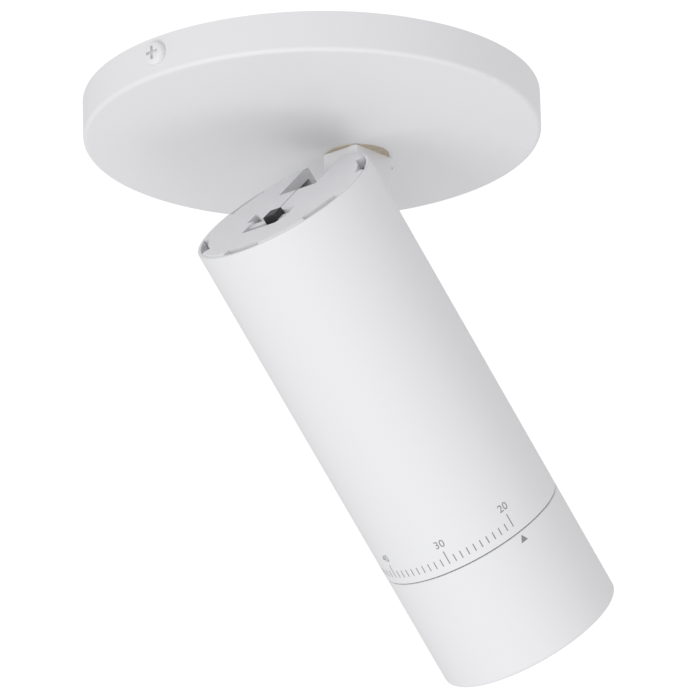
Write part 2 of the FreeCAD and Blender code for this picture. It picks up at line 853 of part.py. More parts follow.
def make_driver_transformer():
    """The transformer: a core with a winding round its middle."""
    length, width, height = transformer_size
    core = on_board((length, width * 0.7, height), 0.0, transformer_place)
    winding = on_board((length * 0.6, width, height * 0.8), 0.0, transformer_place + length * 0.2)
    return joined([core, winding])


def make_driver_capacitors():
    """Two round capacitors standing on the board."""
    top = board_face() - board_thickness
    start = board_span()[0]
    solids = []
    for y in (capacitor_inset - board_half_width, board_half_width - capacitor_inset):
        can = Part.makeCylinder(capacitor_diameter / 2, capacitor_height,
                                Vector(top, y, depth(start + capacitor_place)),
                                Vector(-1, 0, 0))
        solids.append(can)
    return Part.makeCompound(solids)


def make_driver_chips():
    """The control chip and the rectifier."""
    return Part.makeCompound([on_board(chip_size, y, chip_place) for y in (-chip_side, chip_side)])


def make_driver_connector():
    """The terminal block for the leads."""
    return on_board(connector_size, connector_inset - board_half_width, connector_place)


# ---- heat sink

def make_heat_sink():
    """Plate fins on a round base, with two pads for the yoke and the driver tray."""
    base = cylinder(front_radius - bore_clearance, depths(sink_base_start, sink_base_end))
    reach = cylinder(sink_fin_radius, depths(sink_start, sink_base_start))
    parts = [base]
    first = -(sink_fin_count - 1) / 2
    for k in range(sink_fin_count):
        y = (first + k) * sink_fin_pitch
        plate = box((-head_radius, head_radius), (y - sink_fin_thickness / 2, y + sink_fin_thickness / 2),
                    depths(sink_start + sink_pad_thickness / 2, sink_base_start + 0.5))
        parts.append(plate.common(cylinder(sink_fin_radius, depths(sink_start, sink_base_start + 1))))
    pad_span = depths(sink_start, sink_start + sink_pad_thickness)
    yoke_pad = box((yoke_base_bottom, yoke_base_top), (-yoke_base_reach, yoke_base_reach),
                   pad_span).common(reach)
    tray_pad = box((tray_screw_x - 4, tray_screw_x + 4), (-tray_flange_half_width, tray_flange_half_width),
                   pad_span)
    parts += [yoke_pad, tray_pad.common(reach)]
    body = joined(parts)
    fin_trim = box((-head_radius, tray_screw_x - 4), (-head_radius, head_radius), pad_span)
    between = box((tray_screw_x + 4, yoke_base_bottom), (-head_radius, head_radius), pad_span)
    outside = tube(head_radius, yoke_base_reach, pad_span).cut(joined([yoke_pad, tray_pad]))
    body = without(body, [fin_trim, between, outside])
    holes = []
    hole = medium_screw_diameter / 2 + screw_clearance
    for side in (-1, 1):
        span = depths(sink_start - 1, sink_start + medium_screw_grip + 1)
        holes.append(cylinder(hole, span, yoke_screw_x, side * yoke_screw_y))
        holes.append(cylinder(hole, span, tray_screw_x, side * tray_screw_y))
        holes.append(cylinder(small_screw_diameter / 2 + screw_clearance,
                              depths(sink_base_end - small_screw_grip, sink_base_end + 1),
                              side * holder_screw_radius, 0))
    through = cylinder(small_screw_diameter / 2 + screw_clearance,
                       depths(sink_base_start - 1, sink_base_end + 1),
                       barrel_screw_radius)
    holes += around(through, barrel_screw_count)
    return without(body, holes)


def make_barrel_screws():
    """Three screws through the heat sink's base into the rear of the lens barrel."""
    one = screw(small_screw_diameter, sink_base_thickness + small_screw_grip - 1, 2.6,
                small_screw_head_height, 0.5)
    first = placed(one, Vector(barrel_screw_radius, 0, depth(sink_base_start)), upright)
    return Part.makeCompound(around(first, barrel_screw_count))


# ---- light source

def make_thermal_pad():
    """The pad between the heat sink and the light source."""
    half = led_board_side / 2
    return box((-half, half), (-half, half), depths(sink_base_end, sink_base_end + pad_thickness))


def led_face():
    """Depth of the light source's front face."""
    return sink_base_end + pad_thickness + led_board_thickness


def make_led_board():
    """The square board of the light source."""
    half = led_board_side / 2
    return box((-half, half), (-half, half), depths(sink_base_end + pad_thickness, led_face()))


def make_led_phosphor():
    """The yellow disc that gives the light."""
    return cylinder(phosphor_diameter / 2, depths(led_face(), led_face() + phosphor_thickness))


def make_led_holder():
    """The white ring that clamps the light source, with a flared mouth."""
    outer = cylinder(holder_diameter / 2, depths(sink_base_end, sink_base_end + holder_thickness))
    half = led_board_side / 2 + 0.2
    pocket = box((-half, half), (-half, half), depths(sink_base_end - 1, led_face()))
    end = sink_base_end + holder_thickness
    mouth = turned([(0, depth(led_face() - 0.5)), (phosphor_diameter / 2 + 0.6, depth(led_face() - 0.5)),
                    (phosphor_diameter / 2 + 0.6, depth(led_face() + 0.3)), (holder_mouth / 2 + 1,
                                                                             depth(end + 0.3)),
                    (0, depth(end + 0.3))])
    holes = []
    for side in (-1, 1):
        x = side * holder_screw_radius
        holes.append(cylinder(small_screw_diameter / 2 + screw_clearance,
                              depths(sink_base_end - 1, end + 1), x))
        holes.append(cylinder(small_screw_head_diameter / 2 + 0.3,
                              depths(sink_base_end + holder_wall, end + 1), x))
    return without(outer, [pocket, mouth] + holes)


def make_led_holder_screws():
    """Two screws that hold the clamp ring to the heat sink."""
    one = screw(small_screw_diameter, holder_wall + small_screw_grip - 1, small_screw_head_diameter,
                small_screw_head_height, 0.6)
    solids = []
    for side in (-1, 1):
        where = Vector(side * holder_screw_radius, 0, depth(sink_base_end + holder_wall))
        solids.append(placed(one, where, Vector(0, 0, -1)))
    return Part.makeCompound(solids)


# ---- lens barrel and what holds the zoom ring on it

def pin_angles():
    """Angles about the head's axis of the three guide pins."""
    return [pin_first_angle + k * 360.0 / pin_count for k in range(pin_count)]


def make_lens_barrel():
    """The fixed tube: a wide rear in the housing, a narrower front under the zoom ring, with three slots."""
    rear = cylinder(front_radius - bore_clearance, depths(sink_base_end, housing_length - 0.2))
    front = cylinder(barrel_radius, depths(housing_length - 1, barrel_front))
    cuts = [cylinder(barrel_bore, depths(sink_base_end - 1, barrel_front + 1))]
    ring_end = friction_ring_start + friction_ring_width
    cuts.append(tube(barrel_radius + 1, barrel_radius - friction_ring_thickness,
                     depths(friction_ring_start, ring_end)))
    snap_end = snap_ring_start + snap_ring_thickness + snap_groove_clearance
    cuts.append(tube(barrel_radius + 1, barrel_radius - snap_groove_depth,
                     depths(snap_ring_start - snap_groove_clearance, snap_end)))
    half = pin_diameter / 2 + pin_slot_clearance
    slot = box((barrel_bore - 1, barrel_radius + 1), (-half, half),
               depths(pin_depth - zoom_travel - half - pin_end_clearance,
                      pin_depth + half + pin_end_clearance))
    cuts += around(slot, pin_count, pin_first_angle)
    blind = cylinder(small_screw_diameter / 2 + screw_clearance,
                     depths(sink_base_end - 1, sink_base_end + small_screw_grip), barrel_screw_radius)
    cuts += around(blind, barrel_screw_count)
    return without(joined([rear, front]), cuts)


def make_zoom_friction_ring():
    """The rubber ring that gives the zoom ring its drag."""
    inner = barrel_radius - friction_ring_thickness
    outer = ring_inner / 2 - friction_ring_clearance
    return tube(outer, inner, depths(friction_ring_start + 0.1,
                                     friction_ring_start + friction_ring_width - 0.1))


def make_barrel_snap_ring():
    """The split spring ring that keeps the zoom ring on the barrel."""
    span = depths(snap_ring_start, snap_ring_start + snap_ring_thickness)
    ring = tube(snap_ring_reach, barrel_radius - snap_groove_depth + 0.05, span)
    half = math.radians(snap_ring_gap_angle / 2)
    far = head_diameter
    gap = prism([(0, 0), (far * math.cos(half), -far * math.sin(half)),
                 (far * math.cos(half), far * math.sin(half))],
                span)
    return ring.cut(gap)


# ---- lens carriage

def make_lens_carriage():
    """The ring that carries the lens and slides in the barrel."""
    start = pin_depth - carriage_behind_pin
    end = start + carriage_length
    outer = barrel_bore - carriage_clearance
    seat = outer - carriage_wall
    body = cylinder(outer, depths(start, end))
    cuts = [cylinder(seat - carriage_lip_width, depths(start - 1, end + 1)),
            cylinder(seat, depths(start + carriage_lip, end + 1))]
    hole = Part.makeCylinder(pin_diameter / 2 + 0.02, carriage_wall * 3,
                             Vector(seat - 1, 0, depth(pin_depth)),
                             Vector(1, 0, 0))
    cuts += around(hole, pin_count, pin_first_angle)
    return without(body, cuts)


def make_guide_pins():
    """Three pins from the carriage, through the barrel's slots, into the zoom ring's grooves."""
    inner = barrel_bore - carriage_clearance - carriage_wall
    pin = Part.makeCylinder(pin_diameter / 2, pin_reach - inner, Vector(inner, 0, depth(pin_depth)),
                            Vector(1, 0, 0))
    return Part.makeCompound(around(pin, pin_count, pin_first_angle))


def lens_radius():
    """Radius of the lens in its seat."""
    return barrel_bore - carriage_clearance - carriage_wall - lens_clearance


def dome_radius():
    """Radius of the sphere that the lens's dome is part of."""
    return (lens_radius() ** 2 + lens_rise ** 2) / (2 * lens_rise)


def dome_height(radius):
    """Rise of the dome above the lens's edge at this distance from its axis."""
    return math.sqrt(dome_radius() ** 2 - radius ** 2) - (dome_radius() - lens_rise)


def make_zoom_lens():
    """A plano-convex lens: flat towards the light source, domed towards the front."""
    start = pin_depth - carriage_behind_pin + carriage_lip
    radius = lens_radius()
    disc = cylinder(radius, depths(start, start + lens_edge))
    centre = depth(start + lens_edge + lens_rise - dome_radius())
    ball = Part.makeSphere(dome_radius(), Vector(0, 0, centre), upright, -90, 90, 360)
    dome = ball.common(cylinder(radius, depths(start + lens_edge - 0.2, start + lens_edge + lens_rise + 1)))
    return joined([disc, dome])


def make_lens_retainer():
    """The ring that holds the lens's edge down in the carriage."""
    outer = lens_radius() + lens_clearance / 2
    inner = outer - lens_retainer_width
    start = pin_depth - carriage_behind_pin + carriage_lip + lens_edge + dome_height(inner)
    return tube(outer, inner, depths(start, start + lens_retainer_thickness))


# ---- zoom ring and the front

def helical_groove():
    """The path that one guide pin follows in the zoom ring, widened to the pin."""
    half = pin_diameter / 2 + pin_slot_clearance
    inner = barrel_radius - 0.2
    outer = ring_inner / 2 + groove_depth
    pitch = zoom_travel * 360.0 / zoom_turn
    middle = (inner + outer) / 2
    path = Part.makeHelix(pitch, zoom_travel, middle)
    climb = math.atan2(pitch, 2 * math.pi * middle)
    across = Vector(0, -math.sin(climb), math.cos(climb))
    start = Vector(middle, 0, 0)
    outward = Vector(1, 0, 0)
    reach = (outer - inner) / 2
    corners = [start - outward * reach - across * half, start + outward * reach - across * half,
               start + outward * reach + across * half, start - outward * reach + across * half]
    profile = Part.makePolygon(corners + corners[:1])
    groove = Part.Wire(path).makePipeShell([profile], True, True)
    end = Part.makeCylinder(half + groove_end_relief, outer - inner, Vector(inner, 0, 0), Vector(1, 0, 0))
    last = end.copy()
    last.rotate(Vector(0, 0, 0), upright, zoom_turn)
    last.translate(Vector(0, 0, zoom_travel))
    body = groove.fuse([end, last])
    body.translate(Vector(0, 0, depth(pin_depth)))
    return body


def make_zoom_ring():
    """The front ring: a smooth bore on the barrel, three helical grooves, and bores for the front glass."""
    body = cylinder(head_radius, depths(ring_start, head_length))
    rear = [edge for edge in body.Edges
            if edge.Length > head_radius and abs(edge.BoundBox.ZMin - depth(ring_start)) < 1e-6]
    body = body.makeFillet(rim_rounding, rear)
    front = [edge for edge in body.Edges
             if edge.Length > head_radius and abs(edge.BoundBox.ZMax - depth(head_length)) < 1e-6]
    body = body.makeFillet(front_edge_radius, front)
    cuts = [cylinder(ring_inner / 2, depths(ring_start - 1, snap_pocket_start + 1)),
            cylinder(snap_pocket_radius, depths(snap_pocket_start, front_bore_start + 1)),
            cylinder(front_bore_radius, depths(front_bore_start, head_length + 1))]
    body = without(body, cuts)
    return without(body, around(helical_groove(), pin_count, pin_first_angle))


def front_stack():
    """Depths of the gasket, the glass and the bezel."""
    gasket_end = front_bore_start + gasket_thickness
    glass_end = gasket_end + glass_thickness
    return front_bore_start, gasket_end, glass_end, head_length - bezel_recess


def make_glass_gasket():
    """The soft ring behind the front glass."""
    outer = front_bore_radius - front_clearance
    start, end = front_stack()[:2]
    return tube(outer, outer - gasket_width, depths(start, end))


def make_front_glass():
    """The flat front glass."""
    start, end = front_stack()[1:3]
    return cylinder(front_bore_radius - front_clearance, depths(start, end))


def make_front_bezel():
    """The ring that holds the glass, coned towards the front."""
    start, end = front_stack()[2:]
    outer = front_bore_radius - front_clearance
    return turned([(outer, depth(start)), (outer, depth(end)), (outer - bezel_front_width, depth(end)),
                   (outer - bezel_rear_width, depth(start))])


# ---- the pieces that turn with the head are leaned to the resting tilt

fixed_pieces = {
    "canopy": make_canopy,
    "mounting_bracket": make_mounting_bracket,
    "canopy_screws": make_canopy_screws,
    "ground_screw": make_ground_screw,
    "pan_stop_pin": make_pan_stop_pin,
    "swivel_arm": make_swivel_arm,
    "swivel_stem": make_swivel_stem,
    "swivel_washer": make_swivel_washer,
    "pan_stop_washer": make_pan_stop_washer,
    "stem_wave_washer": make_stem_wave_washer,
    "stem_nut": make_stem_nut,
    "tilt_friction_washers": make_tilt_friction_washers,
}

leaning_pieces = {
    "tilt_yoke": make_tilt_yoke,
    "yoke_screws": make_yoke_screws,
    "hinge_bolt": make_hinge_bolt,
    "hinge_spring_washer": make_hinge_spring_washer,
    "hinge_nut": make_hinge_nut,
    "head_housing": make_head_housing,
    "rear_cap": make_rear_cap,
    "switch_knob": make_switch_knob,
    "switch_body": make_switch_body,
    "switch_board": make_switch_board,
    "switch_board_screws": make_switch_board_screws,
    "driver_tray": make_driver_tray,
    "driver_tray_screws": make_driver_tray_screws,
    "driver_board": make_driver_board,
    "driver_transformer": make_driver_transformer,
    "driver_capacitors": make_driver_capacitors,
    "driver_chips": make_driver_chips,
    "driver_connector": make_driver_connector,
    "heat_sink": make_heat_sink,
    "barrel_screws": make_barrel_screws,
    "thermal_pad": make_thermal_pad,
    "led_board": make_led_board,
    "led_phosphor": make_led_phosphor,
    "led_holder": make_led_holder,
    "led_holder_screws": make_led_holder_screws,
    "lens_barrel": make_lens_barrel,
    "zoom_friction_ring": make_zoom_friction_ring,
    "barrel_snap_ring": make_barrel_snap_ring,
    "lens_carriage": make_lens_carriage,
    "guide_pins": make_guide_pins,
    "zoom_lens": make_zoom_lens,
    "lens_retainer": make_lens_retainer,
    "zoom_ring": make_zoom_ring,
    "glass_gasket": make_glass_gasket,
    "front_glass": make_front_glass,
    "front_bezel": make_front_bezel,
}


def write(name, shape):
    """Writes one piece and says what it holds."""
    shape.exportStep("parts/" + name + ".step")
    print(name, "solids", len(shape.Solids), "valid", shape.isValid(), "volume", round(shape.Volume, 2))


os.makedirs("parts", exist_ok=True)

for name, make in fixed_pieces.items():
    write(name, make())

for name, make in leaning_pieces.items():
    piece = make()
    piece.rotate(Vector(hinge_setover, 0, -hinge_drop), Vector(0, 1, 0), -rest_tilt)
    piece.translate(Vector(arm_offset - hinge_setover, 0, 0))
    write(name, piece)
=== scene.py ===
"""A surface mounted ceiling spotlight: finishes, printed scale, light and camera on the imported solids."""

import json
import math

import bpy
import numpy as np
from mathutils import Matrix, Vector


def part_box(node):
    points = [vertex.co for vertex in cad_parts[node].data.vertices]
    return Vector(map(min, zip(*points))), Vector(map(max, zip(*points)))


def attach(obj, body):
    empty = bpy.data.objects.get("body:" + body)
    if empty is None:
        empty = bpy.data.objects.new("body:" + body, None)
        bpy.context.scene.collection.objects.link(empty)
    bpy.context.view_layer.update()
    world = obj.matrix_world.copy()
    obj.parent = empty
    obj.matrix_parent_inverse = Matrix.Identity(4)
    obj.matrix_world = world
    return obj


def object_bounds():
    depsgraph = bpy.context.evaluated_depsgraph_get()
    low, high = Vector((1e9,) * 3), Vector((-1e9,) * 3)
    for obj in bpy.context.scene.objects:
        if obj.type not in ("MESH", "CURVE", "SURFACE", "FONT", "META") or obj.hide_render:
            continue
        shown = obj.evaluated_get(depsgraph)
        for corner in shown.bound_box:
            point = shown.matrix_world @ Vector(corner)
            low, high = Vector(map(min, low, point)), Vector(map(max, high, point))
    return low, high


bl_info = {
    "name": "Ceiling spotlight",
    "version": (1, 0, 0),
    "blender": (4, 5, 0),
    "location": "View3D > Sidebar > Spotlight",
    "description": "Finishes, printed scale and stage of a surface mounted ceiling spotlight",
    "category": "Object",
}

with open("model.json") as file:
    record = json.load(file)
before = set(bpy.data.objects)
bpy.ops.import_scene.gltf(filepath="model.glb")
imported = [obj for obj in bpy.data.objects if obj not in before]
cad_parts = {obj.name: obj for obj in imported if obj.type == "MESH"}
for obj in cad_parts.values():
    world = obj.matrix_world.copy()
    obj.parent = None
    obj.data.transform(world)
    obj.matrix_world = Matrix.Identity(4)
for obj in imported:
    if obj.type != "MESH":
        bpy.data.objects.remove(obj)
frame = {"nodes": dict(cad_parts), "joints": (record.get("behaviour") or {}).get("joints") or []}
cad_low, cad_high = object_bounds()

MM = 0.001
SENSOR_WIDTH = 36.0
NUMBER_STEP = 10
ZOOM_JOINT = next(joint for joint in frame["joints"] if joint["name"] == "zoom_turn")
TILT_JOINT = next(joint for joint in frame["joints"] if joint["name"] == "head_tilt")


# ---- small helpers

def linear(hex_colour):
    """The linear RGBA of an sRGB hex colour such as "C8C8CA"."""
    channels = [int(hex_colour[i:i + 2], 16) / 255 for i in (0, 2, 4)]
    return tuple(c / 12.92 if c <= 0.04045 else ((c + 0.055) / 1.055) ** 2.4 for c in channels) + (1.0,)


def add_node(tree, kind, settings=None, values=None, links=None):
    """A node of a kind, with its attributes, its input values and the sockets that feed it."""
    node = tree.nodes.new(kind)
    for name, value in (settings or {}).items():
        setattr(node, name, value)
    for name, value in (values or {}).items():
        node.inputs[name].default_value = value
    for name, source in (links or {}).items():
        tree.links.new(source, node.inputs[name])
    return node


def new_material(name, colour, roughness, metallic=0.0, **sockets):
    """A Principled material with its constants on the shader's own sockets."""
    material = bpy.data.materials.new(name)
    material.use_nodes = True
    material.diffuse_color = linear(colour)
    tree = material.node_tree
    shader = tree.nodes["Principled BSDF"]
    shader.inputs["Base Color"].default_value = linear(colour)
    shader.inputs["Roughness"].default_value = roughness
    shader.inputs["Metallic"].default_value = metallic
    for socket, value in sockets.items():
        shader.inputs[socket.replace("_", " ")].default_value = value
    return material, tree, shader


def scale_of(millimetres):
    """The texture scale that gives features of this size on Object coordinates."""
    return 1.0 / (millimetres * MM)


def vary_colour(tree, shader, height, colour, darker, low=0.35, high=0.65):
    """The base colour runs from a darker to the plain tone as a pattern's height goes from low to high."""
    ramp = add_node(tree, "ShaderNodeMapRange", values={"From Min": low, "From Max": high},
                    links={"Value": height})
    mix = add_node(tree, "ShaderNodeMix", {"data_type": "RGBA"}, links={"Factor": ramp.outputs["Result"]})
    for socket in mix.inputs:
        if socket.type == "RGBA":
            socket.default_value = linear(darker if socket.name == "A" else colour)
    result = next(socket for socket in mix.outputs if socket.type == "RGBA")
    tree.links.new(result, shader.inputs["Base Color"])


def raise_surface(tree, shader, height, relief_mm, strength=1.0):
    """A bump of a real height from a pattern."""
    bump = add_node(tree, "ShaderNodeBump", values={"Strength": strength, "Distance": relief_mm * MM},
                    links={"Height": height})
    tree.links.new(bump.outputs["Normal"], shader.inputs["Normal"])


def grain(tree, size_mm, detail=3.0, roughness=0.55):
    """Even noise with grains of this size, on Object coordinates."""
    place = add_node(tree, "ShaderNodeTexCoord")
    noise = add_node(tree, "ShaderNodeTexNoise",
                     values={"Scale": scale_of(size_mm), "Detail": detail, "Roughness": roughness},
                     links={"Vector": place.outputs["Object"]})
    return noise.outputs["Fac"]


def vary_roughness(tree, shader, height, smooth, rough):
    """The roughness runs between two values with a pattern's height."""
    spread = add_node(tree, "ShaderNodeMapRange",
                      values={"From Min": 0.3, "From Max": 0.7, "To Min": smooth, "To Max": rough},
                      links={"Value": height})
    tree.links.new(spread.outputs["Result"], shader.inputs["Roughness"])


# ---- finishes, each named for the real material and how its surface was made

def powder_coat(name, colour, look):
    """White polyester powder coat, baked on: a satin skin with a fine even pebble."""
    material, tree, shader = new_material(name, colour, look.coat_roughness, IOR=1.5)
    pebble = grain(tree, look.pebble_size / MM, detail=2.0)
    broad = grain(tree, 14.0, detail=1.0)
    vary_roughness(tree, shader, broad, look.coat_roughness - 0.04, look.coat_roughness + 0.05)
    raise_surface(tree, shader, pebble, look.pebble_height / MM)
    return material


def moulded_plastic(name, colour, roughness, grain_mm=0.35, relief_mm=0.006):
    """Injection moulded plastic from a spark-eroded tool: a fine even grain and a soft sheen."""
    material, tree, shader = new_material(name, colour, roughness, IOR=1.46)
    texture = grain(tree, grain_mm, detail=2.0)
    raise_surface(tree, shader, texture, relief_mm)
    vary_roughness(tree, shader, texture, roughness - 0.05, roughness + 0.06)
    return material


def zinc_plate(name, colour, darker, roughness=0.34):
    """Small steel hardware, plated or left as tempered: grey metal, clouded in patches 2.6 mm across."""
    material, tree, shader = new_material(name, colour, roughness, metallic=1.0)
    cloud = grain(tree, 2.6, detail=4.0)
    vary_colour(tree, shader, cloud, colour, darker)
    vary_roughness(tree, shader, cloud, roughness - 0.08, roughness + 0.1)
    return material


def cast_aluminium(name, colour, darker):
    """Die cast aluminium, tumbled: pale grey, with a pebbly skin about a millimetre across."""
    material, tree, shader = new_material(name, colour, 0.46, metallic=1.0)
    skin = grain(tree, 1.1, detail=4.0)
    vary_colour(tree, shader, skin, colour, darker)
    raise_surface(tree, shader, skin, 0.02)
    return material


def anodised_turned(name, colour):
    """Black anodised aluminium, turned on a lathe: tool marks 0.4 mm apart round the head's axis."""
    material, tree, shader = new_material(name, colour, 0.42, metallic=0.6)
    place = add_node(tree, "ShaderNodeTexCoord")
    direction = Vector(ZOOM_JOINT["axis"])
    along = add_node(tree, "ShaderNodeVectorMath", {"operation": "DOT_PRODUCT"},
                     links={0: place.outputs["Object"]})
    along.inputs[1].default_value = direction
    turns = add_node(tree, "ShaderNodeMath", {"operation": "MULTIPLY"},
                     {1: 2 * math.pi * scale_of(0.4)}, {0: along.outputs["Value"]})
    wave = add_node(tree, "ShaderNodeMath", {"operation": "SINE"}, links={0: turns.outputs[0]})
    raise_surface(tree, shader, wave.outputs[0], 0.01, 0.5)
    return material


def threaded_steel(name, colour, pitch_mm):
    """Zinc plated tube with a rolled thread: grooves one pitch apart, level with the ceiling."""
    material, tree, shader = new_material(name, colour, 0.36, metallic=1.0)
    place = add_node(tree, "ShaderNodeTexCoord")
    height = add_node(tree, "ShaderNodeSeparateXYZ", links={"Vector": place.outputs["Object"]})
    turns = add_node(tree, "ShaderNodeMath", {"operation": "MULTIPLY"},
                     {1: scale_of(pitch_mm)}, {0: height.outputs["Z"]})
    ridge = add_node(tree, "ShaderNodeMath", {"operation": "PINGPONG"}, {1: 0.5}, {0: turns.outputs[0]})
    raise_surface(tree, shader, ridge.outputs[0], 0.5)
    return material


def vulcanised_fibre(name, colour, darker):
    """Vulcanised fibre sheet: tan, hard and matt, with a paper grain about a millimetre across."""
    material, tree, shader = new_material(name, colour, 0.72, IOR=1.5)
    paper = grain(tree, 0.9, detail=5.0, roughness=0.7)
    vary_colour(tree, shader, paper, colour, darker)
    raise_surface(tree, shader, paper, 0.02)
    return material


def circuit_board(name, colour, darker):
    """Epoxy glass board under green solder resist: glossy, with the weave 0.6 mm apart just showing."""
    material, tree, shader = new_material(name, colour, 0.3, IOR=1.52)
    place = add_node(tree, "ShaderNodeTexCoord")
    weave = add_node(tree, "ShaderNodeTexChecker", values={"Scale": scale_of(0.6)},
                     links={"Vector": place.outputs["Object"]})
    vary_colour(tree, shader, weave.outputs["Fac"], colour, darker, 0.0, 1.0)
    return material


def nitrile_rubber(name, colour):
    """Moulded rubber: dull, with a very fine bloom."""
    material, tree, shader = new_material(name, colour, 0.68, IOR=1.52)
    bloom = grain(tree, 0.6, detail=4.0)
    vary_roughness(tree, shader, bloom, 0.6, 0.78)
    raise_surface(tree, shader, bloom, 0.01)
    return material


def clear_glass(name, tint, roughness):
    """Clear float glass or a pressed glass lens, polished."""
    return new_material(name, tint, roughness, IOR=1.5, Transmission_Weight=1.0)[0]


def phosphor_gel(name, colour, darker):
    """Silicone filled with phosphor over the LED chips: dull yellow, with a fine speckle."""
    material, tree, shader = new_material(name, colour, 0.38, IOR=1.41)
    speckle = grain(tree, 0.25, detail=3.0)
    vary_colour(tree, shader, speckle, colour, darker)
    return material


def printed_ink(name, colour):
    """Pad printed epoxy ink: flat grey, a little uneven in its sheen."""
    material, tree, shader = new_material(name, colour, 0.6, IOR=1.5)
    film = grain(tree, 0.2, detail=2.0)
    vary_roughness(tree, shader, film, 0.52, 0.68)
    return material


def wound_tape(name, colour, darker):
    """Polyester tape round a transformer's winding: glossy amber, uneven over about 3 mm."""
    material, tree, shader = new_material(name, colour, 0.28, IOR=1.57)
    patches = grain(tree, 3.0, detail=1.0)
    vary_colour(tree, shader, patches, colour, darker)
    return material


def dress(node_names, material):
    """The same finish on every slot of these nodes."""
    for name in node_names:
        mesh = frame["nodes"][name].data
        mesh.materials.clear()
        mesh.materials.append(material)


# ---- the sizes and colours that a user would change

class SpotlightFinish(bpy.types.PropertyGroup):
    """Colours and textures of the finishes."""
    coat_colour: bpy.props.StringProperty(
        name="Coat colour", description="sRGB hex of the white powder coat", default="E9E9EB")
    cap_colour: bpy.props.StringProperty(
        name="Cap colour", description="sRGB hex of the moulded rear cap", default="E9E9EB")
    ink_colour: bpy.props.StringProperty(
        name="Ink colour", description="sRGB hex of the printed scale", default="8E8E92")
    coat_roughness: bpy.props.FloatProperty(
        name="Coat roughness", description="Roughness of the powder coat", default=0.5, min=0.1, max=1.0)
    pebble_size: bpy.props.FloatProperty(
        name="Pebble size", description="Width of the powder coat's pebbles",
        default=0.0005, unit="LENGTH", precision=5)
    pebble_height: bpy.props.FloatProperty(
        name="Pebble height", description="Height of the powder coat's pebbles",
        default=0.000006, unit="LENGTH", precision=6)


class SpotlightScale(bpy.types.PropertyGroup):
    """The printed zoom scale and its pointer. Depths are from the head's rear rim."""
    first_angle: bpy.props.FloatProperty(
        name="First angle", description="Place of the lowest number, from the head's near side",
        default=math.radians(-27.2), subtype="ANGLE")
    step_angle: bpy.props.FloatProperty(
        name="Step", description="Turn between two ticks", default=math.radians(4.4), subtype="ANGLE")
    first_number: bpy.props.IntProperty(name="First number", description="Lowest beam angle", default=20)
    last_number: bpy.props.IntProperty(name="Last number", description="Highest beam angle", default=60)
    tick_width: bpy.props.FloatProperty(
        name="Tick width", description="Width of a tick", default=0.0003, unit="LENGTH", precision=5)
    tick_end: bpy.props.FloatProperty(
        name="Tick end", description="Depth of the ticks' front ends", default=0.1053, unit="LENGTH",
        precision=5)
    long_tick: bpy.props.FloatProperty(
        name="Long tick", description="Length of a tick at a number", default=0.0041, unit="LENGTH",
        precision=5)
    short_tick: bpy.props.FloatProperty(
        name="Short tick", description="Length of a plain tick", default=0.00225, unit="LENGTH", precision=5)
    number_depth: bpy.props.FloatProperty(
        name="Number depth", description="Depth of the numbers' middle", default=0.0989, unit="LENGTH",
        precision=5)
    number_height: bpy.props.FloatProperty(
        name="Number height", description="Height of the numbers", default=0.0022, unit="LENGTH", precision=5)
    pointer_angle: bpy.props.FloatProperty(
        name="Pointer angle", description="Place of the pointer at rest", default=math.radians(-25.5),
        subtype="ANGLE")
    pointer_depth: bpy.props.FloatProperty(
        name="Pointer depth", description="Depth of the pointer's tip", default=0.1086, unit="LENGTH",
        precision=5)
    pointer_length: bpy.props.FloatProperty(
        name="Pointer length", description="Length of the pointer", default=0.00205, unit="LENGTH",
        precision=5)
    pointer_width: bpy.props.FloatProperty(
        name="Pointer width", description="Width of the pointer's base", default=0.0024, unit="LENGTH",
        precision=5)
    pointer_pieces: bpy.props.IntProperty(
        name="Pointer pieces", description="Triangles across the pointer, so that it follows the ring",
        default=8, min=1)
    ink_thickness: bpy.props.FloatProperty(
        name="Ink thickness", description="Height of the ink over the coat", default=0.00002, unit="LENGTH",
        precision=6)


